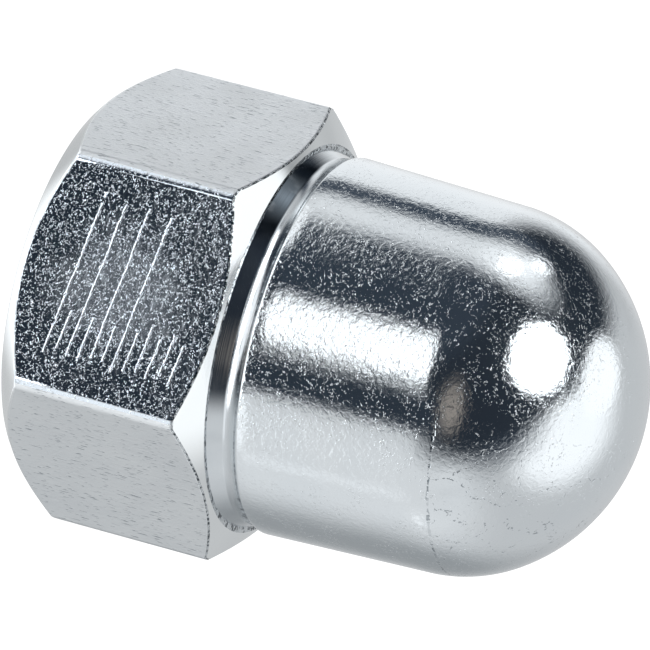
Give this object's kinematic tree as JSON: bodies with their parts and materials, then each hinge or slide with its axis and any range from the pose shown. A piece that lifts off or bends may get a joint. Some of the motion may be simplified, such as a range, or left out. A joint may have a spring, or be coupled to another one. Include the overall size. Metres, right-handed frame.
{
  "type": "axle nut",
  "caption": "One-piece domed cap nut for a wheel axle: hexagon with chamfered ends, turned neck groove, drafted barrel and round dome over a blind threaded bore.",
  "frame": {"origin": "centre of the flat bearing face, on the thread axis", "axes": "+Z along the thread axis from the bearing face to the top of the dome, X across two opposite corners, Y across two opposite flats"},
  "size_m": [0.0172, 0.015, 0.0219],
  "materials": {
    "zinc_plated_steel": "bright zinc plating with a fine orange-peel texture, brushed on the flats"
  },
  "bodies": {
    "root": {"axle_nut": "zinc_plated_steel"}
  },
  "joints": []
}
